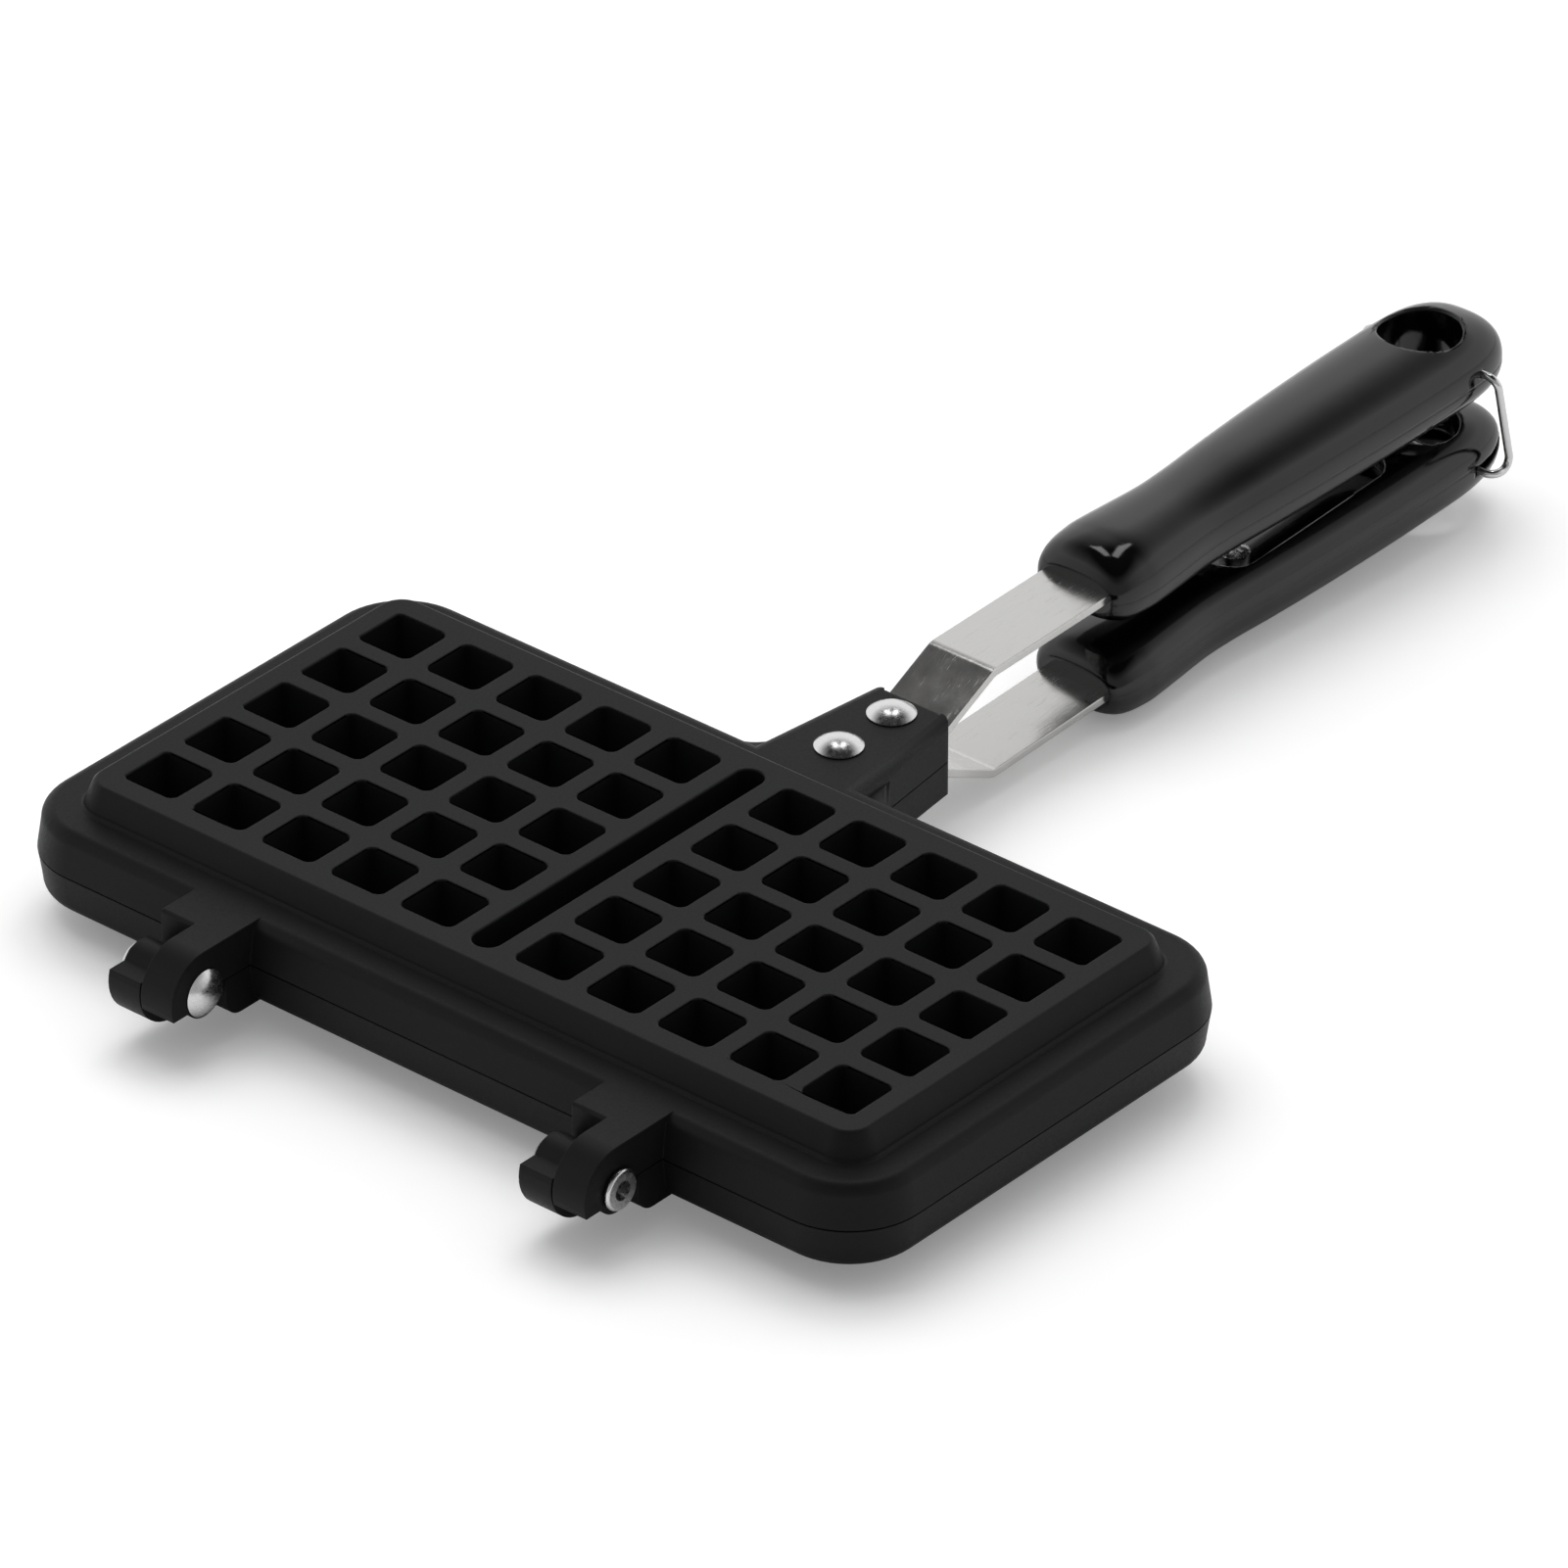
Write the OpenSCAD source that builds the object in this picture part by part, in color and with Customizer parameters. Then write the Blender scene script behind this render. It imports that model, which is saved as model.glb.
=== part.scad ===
// Two-slice waffle pan: two identical hinged plates, cranked strap handles, moulded grips and a wire bail.
// Millimetres. Z = 0 is the lower plate's resting face, +X runs from the hinges to the grips.

/* [Plate] */
// Length of the raised panel along X, at its outer face
panel_l = 101.3; // [99:0.1:108]
// Width of the raised panel along Y, at its outer face
panel_w = 213.8; // [211:0.2:224]
// Corner radius of the raised panel
panel_r = 6.1; // [4:0.2:9]
// Height of one plate, from its outer face to the parting plane
plate_h = 16.2; // [15:0.1:19]
// Height of the step from the panel's face to the flange
step_h = 6.2; // [5.5:0.1:7.2]
// How far the flange stands out past the panel
flange_w = 12.0; // [11:0.1:16]
// Thickness of the panel's sheet
sheet_t = 3.0; // [2.5:0.1:3.6]
// Thickness of the panel's side wall at the sheet
wall_t = 3.0; // [2.5:0.1:3.6]
// Radius of the flange's outer edge
edge_r = 3.0; // [2:0.1:3.4]
// Gap left between the two closed rims
rim_gap = 0.3; // [0.2:0.05:0.6]
// Depth of the overflow gutter in the rim
gutter_d = 3.0; // [2:0.1:4]

/* [Waffle grid] */
// Distance between neighbouring squares along X
pitch_x = 18.55; // [18.2:0.05:19]
// Distance between neighbouring squares along Y
pitch_y = 19.5; // [19:0.05:20]
// Squares along X in each block
grid_x = 5; // [3:1:5]
// Squares along Y in each block
grid_y = 5; // [3:1:5]
// Distance across the middle between the two blocks' nearest squares
block_gap = 31.8; // [31:0.1:32]
// Length of a recess along X at the outer face
recess_l = 13.7; // [12:0.1:14]
// Width of a recess along Y at the outer face
recess_w = 14.4; // [12.5:0.1:14.8]
// Depth of a square recess
recess_d = 10.4; // [8:0.1:10.6]
// Corner radius of a square recess
recess_r = 2.0; // [1:0.1:3]
// Length of a waffle stud along X where it meets the sheet
stud_l = 15.6; // [15.2:0.1:16]
// Width of a waffle stud along Y where it meets the sheet
stud_w = 16.4; // [16:0.1:17]
// Height of a waffle stud above the sheet
stud_h = 10.5; // [10:0.1:11]
// Draft of studs and recesses in degrees
draft = 8; // [4:0.5:9]
// Length of the divider recess
slot_l = 90.0; // [86:0.2:92]
// Width of the divider recess
slot_w = 7.0; // [5:0.1:7.4]
// Wall round the divider recess
divider_wall = 1.5; // [1.2:0.1:2]

/* [Hinges] */
// Distance of each hinge from the middle
hinge_y = 57.0; // [50:0.1:62]
// Width of one hinge arm
arm_w = 8.8; // [7:0.1:10]
// Gap between neighbouring arms
arm_gap = 0.4; // [0.3:0.05:0.6]
// Distance of the hinge pin from the flange
pin_out = 14.2; // [13.6:0.1:18]
// Outer radius of a knuckle on its own plate's side
knuckle_r = 10.0; // [9.4:0.1:10]
// Outer radius of a knuckle on the other plate's side
small_r = 5.8; // [5:0.1:6]
// How far the larger knuckle radius passes the parting plane
stop_over = 3.0; // [2.5:0.1:3.5]
// Radius of the hinge pin's shank
pin_r = 3.0; // [2.5:0.1:3.4]
// Running clearance of the pin in the knuckles
pin_clear = 0.05; // [0.02:0.01:0.09]
// Radius of the hinge pin's domed head
pin_head_r = 5.4; // [4.6:0.1:5.8]
// Height of the hinge pin's domed head
pin_head_h = 2.4; // [1.5:0.1:3]
// Gap between the pin's head and the arm
head_gap = 0.2; // [0.1:0.05:0.4]

/* [Handle bosses] */
// Length of the boss past the flange
boss_l = 31.6; // [30:0.1:38]
// Width of the boss at its end
boss_end_w = 23.0; // [22:0.2:26]
// Side taper of the boss in degrees
boss_taper = 7; // [3:0.5:9]
// Radius of the boss's long outer edges
boss_edge_r = 3.6; // [2:0.1:4]
// Radius of the fillets between boss and flange
boss_fillet_r = 10; // [6:0.5:12]
// Distance from the flange to the first strap rivet
rivet_in = 8.6; // [8.4:0.1:11]
// Distance between the two strap rivets
rivet_pitch = 17.4; // [16:0.1:19]
// Radius of a strap rivet's shank
rivet_r = 2.5; // [2:0.1:3]
// Radius of a strap rivet's domed head
rivet_head_r = 5.75; // [5:0.05:6.2]
// Height of a strap rivet's domed head
rivet_head_h = 2.3; // [1.8:0.1:3]
// Clearance of a rivet's shank in its hole
rivet_clear = 0.05; // [0.02:0.01:0.1]

/* [Straps] */
// Width of the steel strap
strap_w = 18.0; // [16:0.1:19]
// Thickness of the steel strap
strap_t = 2.0; // [1.5:0.1:2.5]
// Distance of the strap's fixed end from the parting plane, to its middle
strap_in = 5.0; // [4.8:0.05:5.6]
// Distance of the strap's outer run from the parting plane, to its middle
strap_out = 12.75; // [12.2:0.05:13.4]
// Slope of the cranked run in degrees
crank = 25.7; // [22:0.1:32]
// Angle by which the latched bail springs the lower strap's outer run towards the upper one
lower_lift = 2.0; // [0:0.05:2.2]
// Angle by which the upper strap's outer run leans outwards
upper_lean = 1.1; // [0:0.05:1.3]
// Inner radius of the strap's bends
bend_r = 3.0; // [2:0.1:4]
// Side clearance of the strap in its channel
strap_clear = 0.3; // [0.2:0.05:0.5]

/* [Grips] */
// Distance from the boss's end to the grip's front
grip_out = 56.1; // [54:0.1:60]
// Length of the grip
grip_l = 145.6; // [142:0.1:150]
// Half width of the grip at its waist
waist_w = 12.3; // [11.6:0.1:13]
// Half width of the grip at its broad end
broad_w = 14.6; // [13.6:0.1:14.7]
// Distance of the grip's mould line from the parting plane
grip_mid = 11.8; // [11.6:0.1:12.2]
// Depth of the grip on its outer side
grip_outer = 11.1; // [10.4:0.1:12]
// Depth of the grip on its inner side
grip_inner = 8.5; // [8:0.1:9]
// Distance from the grip's end to the middle of the hang hole
hole_in = 25.9; // [25:0.1:27]
// Width of the hang hole
hole_w = 18.6; // [17:0.1:18.8]
// Length of the hang hole
hole_l = 18.9; // [18.8:0.1:20]
// Length of the moulded pocket on the inner side
pocket_l = 58; // [54:1:60]
// Width of the moulded pocket
pocket_w = 15.2; // [12:0.2:16]
// Depth of the moulded pocket
pocket_d = 4.0; // [3:0.1:4.4]
// Radius of the grip screw's shank
screw_r = 2.0; // [1.5:0.1:2.2]
// Radius of the grip screw's head
screw_head_r = 3.5; // [3.2:0.1:4.4]
// Height of the grip screw's head
screw_head_h = 2.5; // [2:0.1:2.8]

/* [Wire bail] */
// Radius of the bail wire
wire_r = 0.95; // [0.8:0.02:1.05]
// Radius of the wire's bends, to its middle
wire_bend = 2.6; // [2:0.1:3]
// Gap between the bail's legs and the grip's broadest part
leg_gap = 3.1; // [2.6:0.1:3.6]
// Distance from the grip's end to the bail's pivot
pivot_in = 21.8; // [21.4:0.1:22.2]
// Distance of the pivot from the mould line, on the outer side
pivot_up = 2.1; // [1:0.1:3]
// Reach of a leg from its pivot towards the grip's end
leg_out = 5.8; // [5:0.1:6.5]
// Drop of a leg from its pivot
leg_down = 24.6; // [24:0.1:25.4]
// Length of the hook from a leg's corner back to the cross bar
hook_l = 6.4; // [6:0.1:7]
// Depth of the bail's foot in the grip
foot_d = 5.6; // [5:0.1:6]
// Running clearance of the foot in the grip
foot_clear = 0.08; // [0.03:0.01:0.1]
// Gap between the latched cross bar and its seat
seat_gap = 0.3; // [0.2:0.05:0.5]

/* [Hidden] */
$fn = 48;
eps = 0.01;

// Finishes
coat_colour = [0.16, 0.16, 0.17];
phenolic_colour = [0.06, 0.06, 0.07];
steel_colour = [0.78, 0.78, 0.79];
alu_colour = [0.86, 0.86, 0.87];

// Corner centres shared by the panel's and the flange's outlines
core_x = panel_l / 2 - panel_r;
core_y = panel_w / 2 - panel_r;
flange_r = panel_r + flange_w;
flange_x = core_x + flange_r;
flange_y = core_y + flange_r;
rim_z = plate_h - rim_gap / 2;

// The resting land between the divider recess and the panel's hinge-side edge holds the origin
land_x = (slot_l / 2 + panel_l / 2) / 2;

// Step profile: how far the drafted wall stands out, the cove at its foot and the rounding at its top
step_draft = 1.8;
cove_r = 1.0;
rim_draft = 1.0;
face_round = 0.8;

// Hinge
pin_x = -flange_x - pin_out;
arm_in = arm_gap / 2;
nose_clear = 0.8;
pin_span = 2 * arm_w + arm_gap;
tube_r = pin_r * 0.75;
roll_t = 1.4;
rolled_r = pin_r * 1.57;

// Handle
boss_end = flange_x + boss_l;
rivet_x = [flange_x + rivet_in, flange_x + rivet_in + rivet_pitch];
channel_in = rivet_in - rivet_head_r - 1.2;
crank_x = boss_end + 2.0;
knee = [crank_x + (strap_out - strap_in) / tan(crank), plate_h - strap_out];
grip_x = boss_end + grip_out;
grip_end = grip_x + grip_l;
hole_x = grip_end - hole_in;
pocket_x = hole_x - hole_l / 2 - 6.9 - pocket_l / 2;
screw_x = pocket_x - pocket_l / 2 + pocket_w / 2 + 2.4;
screw_depth = 8;
strap_end = screw_x + 8;
strap_start = rivet_x[0] - 5.1;

// Where a point of the lower half's side view goes when its outer run is sprung by an angle
function sprung_at(p, lift) = let (d = p - knee)
    knee + [d[0] * cos(lift) - d[1] * sin(lift), d[0] * sin(lift) + d[1] * cos(lift)];

// Bail
pivot = sprung_at([grip_end - pivot_in, plate_h - grip_mid - pivot_up], -upper_lean);
pivot_x = pivot[0];
pivot_z = 2 * plate_h - pivot[1];
leg_y = broad_w + wire_r + leg_gap;
bar_x = leg_out - hook_l;
bar_z = -leg_down + 0.2;
swing_r = norm([bar_x, bar_z]) - wire_r - seat_gap;

// Places a part drawn about the panel's middle in the model's frame
module placed() translate([land_x, 0, 0]) children();

// Turns a part of the lower half into its twin in the upper half
module upper_half() translate([0, 0, 2 * plate_h]) rotate([180, 0, 0]) children();

// Turns the outer run and what it carries about the strap's knee
module sprung(lift) {
    translate([knee[0], 0, knee[1]]) rotate([0, -lift, 0]) translate([-knee[0], 0, -knee[1]]) children();
}

// Sweeps an outline of radius and height round the corner centres, and fills the middle
module swept(outline, low, high) {
    for (sx = [-1, 1], sy = [-1, 1])
        translate([sx * core_x, sy * core_y, 0])
            rotate([0, 0, sx > 0 ? (sy > 0 ? 0 : 270) : (sy > 0 ? 90 : 180)])
                rotate_extrude(angle = 90, $fn = 96) children_outline(outline);
    for (s = [0, 1]) {
        rotate([0, 0, s * 180]) translate([core_x, core_y, 0])
            rotate([90, 0, 0]) linear_extrude(2 * core_y) children_outline(outline);
        rotate([0, 0, 90 + s * 180]) translate([core_y, core_x, 0])
            rotate([90, 0, 0]) linear_extrude(2 * core_x) children_outline(outline);
    }
    translate([-core_x, -core_y, low]) cube([2 * core_x, 2 * core_y, high - low]);
}

module children_outline(outline) {
    if (outline == "body") body_outline();
    if (outline == "cavity") cavity_outline();
    if (outline == "gutter") gutter_outline();
}

// Half section of the casting's outside: panel, cove, ledge, rounded edge and drafted rim
module body_outline() {
    foot = panel_r + step_draft;
    low = step_h - cove_r;
    difference() {
        union() {
            polygon([
                [0, 0], [panel_r - face_round, 0], [panel_r, face_round], [foot, low], [foot + cove_r, low],
                [foot + cove_r, step_h], [flange_r - rim_draft - edge_r, step_h],
                [flange_r - rim_draft, step_h + edge_r], [flange_r, rim_z], [0, rim_z]]);
            translate([flange_r - rim_draft - edge_r, step_h + edge_r]) circle(edge_r);
        }
        translate([foot + cove_r, low]) circle(cove_r);
    }
}

// Half section of the batter cavity
module cavity_outline() {
    floor_out = panel_r - wall_t;
    mouth_out = floor_out + (plate_h - sheet_t) * tan(12);
    polygon([[0, sheet_t], [floor_out, sheet_t], [mouth_out, plate_h], [0, plate_h]]);
}

// Half section of the overflow gutter
module gutter_outline() {
    near = panel_r + 2.4;
    far = flange_r - 4.4;
    polygon([[near, plate_h], [near + 1, rim_z - gutter_d], [far - 1, rim_z - gutter_d], [far, plate_h]]);
}

// Places of the squares along Y, and along X
function square_y() = [for (s = [-1, 1], i = [0:grid_y - 1]) s * (block_gap / 2 + i * pitch_y)];
function square_x() = [for (i = [0:grid_x - 1]) (i - (grid_x - 1) / 2) * pitch_x];

// A bar with drafted sides, drawn as a section: width at the base, height, and side slope
module drafted_bar(base, high) {
    top = base - 2 * high * tan(draft);
    polygon([[-base / 2, 0], [base / 2, 0], [top / 2, high], [-top / 2, high]]);
}

// Every square of the grid as a drafted pyramid stump, base down, with rounded corners
module stumps(length, width, high, corner) {
    intersection() {
        translate([0, core_y, 0]) rotate([90, 0, 0]) linear_extrude(2 * core_y)
            for (x = square_x()) translate([x, 0]) drafted_bar(length, high);
        translate([-core_x, 0, 0]) rotate([90, 0, 90]) linear_extrude(2 * core_x)
            for (y = square_y()) translate([y, 0]) drafted_bar(width, high);
        linear_extrude(high)
            for (x = square_x(), y = square_y()) translate([x, y]) rounded_oblong(length, width, corner);
    }
}

module rounded_oblong(length, width, corner) {
    square([length, width - 2 * corner], center = true);
    square([length - 2 * corner, width], center = true);
    for (sx = [-1, 1], sy = [-1, 1])
        translate([sx * (length / 2 - corner), sy * (width / 2 - corner)]) circle(corner, $fn = 32);
}

// A flat slot with round ends, centred
module round_slot(length, width) {
    square([length - width, width], center = true);
    for (s = [-1, 1]) translate([s * (length - width) / 2, 0]) circle(width / 2);
}

// One casting, as the lower plate; nose is the radius on the hinge blocks' lower front corner
module plate(nose) {
    difference() {
        union() {
            difference() {
                swept("body", 0, rim_z);
                swept("cavity", sheet_t, plate_h);
                gutter();
            }
            translate([0, 0, sheet_t - eps]) stumps(stud_l, stud_w, stud_h + eps, 2.4);
            divider();
            boss();
            hinge_arms(nose);
        }
        translate([0, 0, -eps]) stumps(recess_l, recess_w, recess_d + eps, recess_r);
        translate([0, 0, -eps]) linear_extrude(plate_h - 3 + eps) round_slot(slot_l, slot_w);
        translate([pin_x, 0, plate_h]) rotate([90, 0, 0])
            cylinder(r = pin_r + pin_clear, h = 2 * (hinge_y + pin_span), center = true);
        boss_cuts();
    }
}

// The gutter is a closed ring, so its sweep has no middle
module gutter() {
    difference() {
        swept("gutter", plate_h - eps, plate_h);
        translate([-core_x, -core_y, plate_h - 2 * eps]) cube([2 * core_x, 2 * core_y, 4 * eps]);
    }
}

// Rib between the two waffles, hollow from outside
module divider() {
    rib_w = slot_w + 2 * divider_wall;
    translate([0, 0, sheet_t - eps]) linear_extrude(plate_h - 1 - sheet_t + eps)
        square([2 * (core_x + panel_r + 0.5), rib_w], center = true);
}

// Handle boss: tapered plan, rounded end corners and long edges, filleted into the flange
module boss() {
    corner = 3.0;
    half_end = boss_end_w / 2;
    run = boss_l + 4;
    intersection() {
        translate([0, 0, step_h]) linear_extrude(rim_z - step_h) {
            for (s = [-1, 1]) translate([boss_end - corner, s * (half_end - corner)]) circle(corner);
            polygon([
                [boss_end - run, -half_end - run * tan(boss_taper)],
                [boss_end - corner + corner * sin(boss_taper), -half_end + corner - corner * cos(boss_taper)],
                [boss_end, -half_end + corner],
                [boss_end, half_end - corner],
                [boss_end - corner + corner * sin(boss_taper), half_end - corner + corner * cos(boss_taper)],
                [boss_end - run, half_end + run * tan(boss_taper)]]);
        }
        for_sides() boss_side(half_end);
    }
    for (s = [0, 1]) mirror([0, s, 0]) fillet_web(half_end + boss_l * tan(boss_taper));
}

// Keeps what lies inside both tapered sides
module for_sides() {
    intersection() {
        children();
        mirror([0, 1, 0]) children();
    }
}

// Everything to one side of a tapered flank, with its outer long edge rounded
module boss_side(half_end) {
    translate([boss_end, half_end, 0]) rotate([0, 0, -boss_taper]) rotate([90, 0, 90])
        translate([0, 0, -boss_l - 10]) linear_extrude(boss_l + 15) {
            translate([-80, step_h]) square([80 - boss_edge_r, plate_h]);
            translate([-80, step_h + boss_edge_r]) square([80, plate_h]);
            translate([-boss_edge_r, step_h + boss_edge_r]) circle(boss_edge_r);
        }
}

// Concave fillet between the boss's flank and the flange, tangent to both
module fillet_web(root) {
    low = step_h + edge_r;
    r = boss_fillet_r;
    mid = root + r / cos(boss_taper) - r * tan(boss_taper);
    touch = [r - r * sin(boss_taper), mid - r * cos(boss_taper)];
    translate([flange_x - 0.3, 0, low]) linear_extrude(rim_z - low) difference() {
        polygon([[-2, root - 5], [touch[0], touch[1] - 3], touch, [0, mid], [-2, mid]]);
        translate([r, mid]) circle(r);
    }
}

// Channel for the strap on the inner side, and the rivet holes through its roof
module boss_cuts() {
    roof = plate_h - strap_in - strap_t / 2;
    width = strap_w + 2 * strap_clear;
    translate([flange_x + channel_in, -width / 2, roof]) cube([boss_l, width, plate_h]);
    for (x = rivet_x) translate([x, 0, 0]) cylinder(r = rivet_r + rivet_clear, h = plate_h);
}

// The two hinge arms and the two blocks beside them
module hinge_arms(nose) {
    for (y0 = [hinge_y + arm_in, -hinge_y + arm_in])
        translate([0, y0 + arm_w, 0]) rotate([90, 0, 0]) linear_extrude(arm_w) arm_outline();
    for (y0 = [hinge_y - arm_in - arm_w, -hinge_y - arm_in - arm_w])
        translate([0, y0 + arm_w + 2 * arm_in, 0]) rotate([90, 0, 0]) linear_extrude(arm_w + 2 * arm_in)
            block_outline(nose);
}

// Side view of an arm: web, large knuckle on its own side, small knuckle beyond the parting plane
module arm_outline() {
    translate([pin_x, plate_h]) {
        circle(small_r);
        intersection() {
            circle(knuckle_r);
            translate([-knuckle_r - 1, -knuckle_r - 1]) square([knuckle_r + 1, knuckle_r + 1 + stop_over]);
        }
        intersection() {
            circle(knuckle_r);
            translate([-knuckle_r - 1, -knuckle_r - 1])
                square([2 * knuckle_r + 2, knuckle_r + 1 - rim_gap / 2]);
        }
    }
    translate([pin_x, plate_h - knuckle_r]) square([pin_out + 4, knuckle_r - rim_gap / 2]);
}

// Side view of the block in front of the other plate's arm
module block_outline(nose) {
    front = pin_x + small_r + nose_clear;
    translate([front + nose, step_h]) square([pin_out + 4 - small_r - nose_clear - nose, rim_z - step_h]);
    translate([front, step_h + nose]) square([nose + 1, rim_z - step_h - nose]);
    translate([front + nose, step_h + nose]) circle(nose);
}

// Hinge pin along Y: domed head at one end, rolled hollow tail at the other
module hinge_pin(bore) {
    reach = pin_span / 2 + head_gap;
    dome = pin_head_r * pin_head_r / (2 * pin_head_h) + pin_head_h / 2;
    difference() {
        rotate_extrude() {
            translate([0, -reach - roll_t]) square([pin_r, 2 * reach + roll_t]);
            intersection() {
                translate([0, reach + pin_head_h - dome]) circle(dome, $fn = 96);
                translate([0, reach]) square([pin_head_r, pin_head_h]);
            }
            translate([0, -reach - roll_t]) square([rolled_r - roll_t / 2, roll_t]);
            translate([rolled_r - roll_t / 2, -reach - roll_t / 2]) circle(roll_t / 2, $fn = 24);
        }
        translate([0, 0, -reach - roll_t - eps]) cylinder(r = tube_r, h = bore);
    }
}

// Left-hand pin has its head towards -Y, the right-hand pin towards +Y
module placed_pin(side) {
    placed() translate([pin_x, side * hinge_y, plate_h])
        rotate([side > 0 ? 90 : -90, 0, 0]) hinge_pin(8);
}

// Side view of the lower strap: fixed end, cranked run and outer run, drawn round its middle line
bend_steps = 8;
function strap_side(half, lift) = let (
    r = bend_r + strap_t / 2, first = r * tan(crank / 2), turn = crank + lift, second = r * tan(turn / 2),
    z0 = plate_h - strap_in, steps = [for (i = [0:bend_steps]) i / bend_steps], run = strap_end - knee[0],
    mid = knee + [-second * cos(crank) + r * sin(crank), second * sin(crank) + r * cos(crank)])
    concat(
        [[strap_start, z0 + half]],
        [for (i = steps)
            [crank_x - first + (r + half) * sin(crank * i), z0 - r + (r + half) * cos(crank * i)]],
        [for (i = steps) mid - (r - half) * [sin(crank - turn * i), cos(crank - turn * i)]],
        [knee + [run * cos(lift) - half * sin(lift), run * sin(lift) + half * cos(lift)]]);
function reversed(list) = [for (i = [len(list) - 1:-1:0]) list[i]];

module strap(lift) {
    difference() {
        translate([0, strap_w / 2, 0]) rotate([90, 0, 0]) linear_extrude(strap_w)
            polygon(concat(strap_side(strap_t / 2, lift), reversed(strap_side(-strap_t / 2, lift))));
        for (x = rivet_x) translate([x, 0, 0]) cylinder(r = rivet_r + rivet_clear, h = plate_h);
        sprung(lift) translate([screw_x, 0, -plate_h]) cylinder(r = screw_r + 0.1, h = 2 * plate_h);
    }
}

// Strap rivet: domed head outside, shank through boss and strap, flat tail inside
module rivet() {
    grip = plate_h - strap_in + strap_t / 2 - step_h;
    dome = rivet_head_r * rivet_head_r / (2 * rivet_head_h) + rivet_head_h / 2;
    translate([0, 0, step_h]) rotate_extrude() {
        square([rivet_r, grip]);
        translate([0, grip]) square([rivet_r + 1.5, 1.2]);
        intersection() {
            translate([0, dome - rivet_head_h]) circle(dome, $fn = 96);
            translate([0, -rivet_head_h]) square([rivet_head_r, rivet_head_h]);
        }
    }
}

// Beyond the broad end the section shrinks to the tip along a superellipse
tip_from = grip_l - 37.5;
tip_power = 2.05;

// Grip stations along its body: place, half width, outer depth and inner depth
body_stations = [
    [0, strap_w / 2 + 1.0, 0.40 * grip_outer, 0.47 * grip_inner],
    [0.5, strap_w / 2 + 1.9, 0.50 * grip_outer, 0.58 * grip_inner],
    [1.6, waist_w - 0.4, 0.64 * grip_outer, 0.72 * grip_inner],
    [3.8, waist_w + 0.5, 0.78 * grip_outer, 0.88 * grip_inner],
    [6.5, waist_w + 1.05, 0.85 * grip_outer, 0.95 * grip_inner],
    [9.5, waist_w + 1.3, 0.885 * grip_outer, 0.985 * grip_inner],
    [13.5, waist_w + 1.4, 0.905 * grip_outer, grip_inner],
    [23, waist_w + 0.75, 0.88 * grip_outer, grip_inner],
    [33.3, waist_w, 0.86 * grip_outer, grip_inner],
    [43.7, waist_w + 0.2, 0.885 * grip_outer, grip_inner],
    [54.1, waist_w + 0.85, 0.93 * grip_outer, grip_inner],
    [68.4, broad_w - 0.75, 0.965 * grip_outer, grip_inner],
    [82.7, broad_w - 0.3, 0.985 * grip_outer, grip_inner],
    [tip_from, broad_w, grip_outer, grip_inner]];
function tip_share(t) = pow(1 - pow(t, tip_power), 1 / tip_power);
tip_stations = [for (t = [0.2, 0.38, 0.53, 0.66, 0.77, 0.86, 0.925, 0.97, 0.993, 0.9995])
    concat([tip_from + t * (grip_l - tip_from)], tip_share(t) * [broad_w, grip_outer, grip_inner])];
stations = concat(body_stations, tip_stations);
ring_n = 40;

// One point of a station's ring: rounder outside, squarer inside
function power(v, p) = sign(v) * pow(abs(v), p);
function ring_point(s, a) = let (inside = sin(a) > 0, p = inside ? 0.80 : 0.78) [
    grip_x + s[0],
    s[1] * power(cos(a), p),
    plate_h - grip_mid + (inside ? s[3] : s[2]) * power(sin(a), p)];
function grip_points() = [for (s = stations, i = [0:ring_n - 1]) ring_point(s, i * 360 / ring_n)];
function grip_faces(count) = concat(
    [[for (i = [0:ring_n - 1]) i]],
    [for (k = [0:count - 2], i = [0:ring_n - 1]) let (j = (i + 1) % ring_n)
        [k * ring_n + j, k * ring_n + i, (k + 1) * ring_n + i, (k + 1) * ring_n + j]],
    [[for (i = [ring_n - 1:-1:0]) (count - 1) * ring_n + i]]);

// Moulded grip as the lower one, with its strap slot, hang hole, pocket and screw hole
module grip() {
    inner_z = plate_h - grip_mid + grip_inner;
    slot_z = plate_h - strap_out;
    difference() {
        polyhedron(grip_points(), grip_faces(len(stations)), convexity = 6);
        translate([grip_x - 1, -strap_w / 2 - 0.15, slot_z - strap_t / 2 - 0.1])
            cube([strap_end - grip_x + 1.4, strap_w + 0.3, strap_t + 0.2]);
        translate([hole_x, 0, -plate_h]) linear_extrude(3 * plate_h) round_slot(hole_l, hole_w);
        translate([pocket_x, 0, inner_z - pocket_d]) linear_extrude(plate_h) round_slot(pocket_l, pocket_w);
        translate([screw_x, 0, slot_z - screw_depth]) cylinder(r = screw_r + 0.1, h = plate_h);
        children();
    }
}

// Blind holes for the bail's feet, in a grip's sides
module foot_holes() {
    inmost = leg_y - wire_bend - foot_d - 0.3;
    for (s = [0, 1]) mirror([0, s, 0]) translate([grip_end - pivot_in, inmost, plate_h - grip_mid - pivot_up])
        rotate([-90, 0, 0])
        cylinder(r = wire_r + foot_clear, h = 20);
}

// Curved slot through the lower grip's end that the bail's cross bar swings along
module bail_slot() {
    room = wire_r + seat_gap;
    translate([pivot_x, 2 * leg_y, pivot_z]) rotate([90, 0, 0]) linear_extrude(4 * leg_y) intersection() {
        difference() {
            circle(swing_r + 2 * room, $fn = 96);
            circle(swing_r, $fn = 96);
        }
        translate([bar_x - room, -60]) square([60, 56]);
    }
}

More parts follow.
